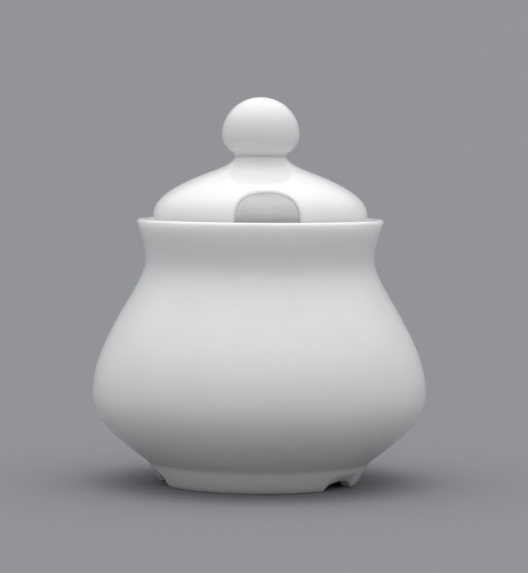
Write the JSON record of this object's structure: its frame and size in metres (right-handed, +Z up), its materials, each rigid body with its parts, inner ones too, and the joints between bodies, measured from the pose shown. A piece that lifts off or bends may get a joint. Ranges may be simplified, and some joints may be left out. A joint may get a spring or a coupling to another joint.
{
  "type": "lidded sugar bowl",
  "caption": "Bellied white porcelain sugar bowl on a notched foot ring, with a loose domed lid that has a spoon notch and a ball knob.",
  "frame": {"origin": "on the turning axis, on the surface that the foot ring stands on", "axes": "+Z up along the turning axis; -Y is the front, which the spoon notch in the lid faces"},
  "size_m": [0.1, 0.1, 0.1155],
  "materials": {
    "glazed_porcelain": "smooth clear glaze over white porcelain"
  },
  "bodies": {
    "bowl_body": {"bowl": "glazed_porcelain"},
    "lid_body": {"lid": "glazed_porcelain", "knob": "glazed_porcelain"}
  },
  "joints": [
    {"name": "lid_lift", "type": "slide", "parent": "bowl_body", "child": "lid_body", "axis": [0, 0, 1], "range_m": [0, 0.08]}
  ]
}
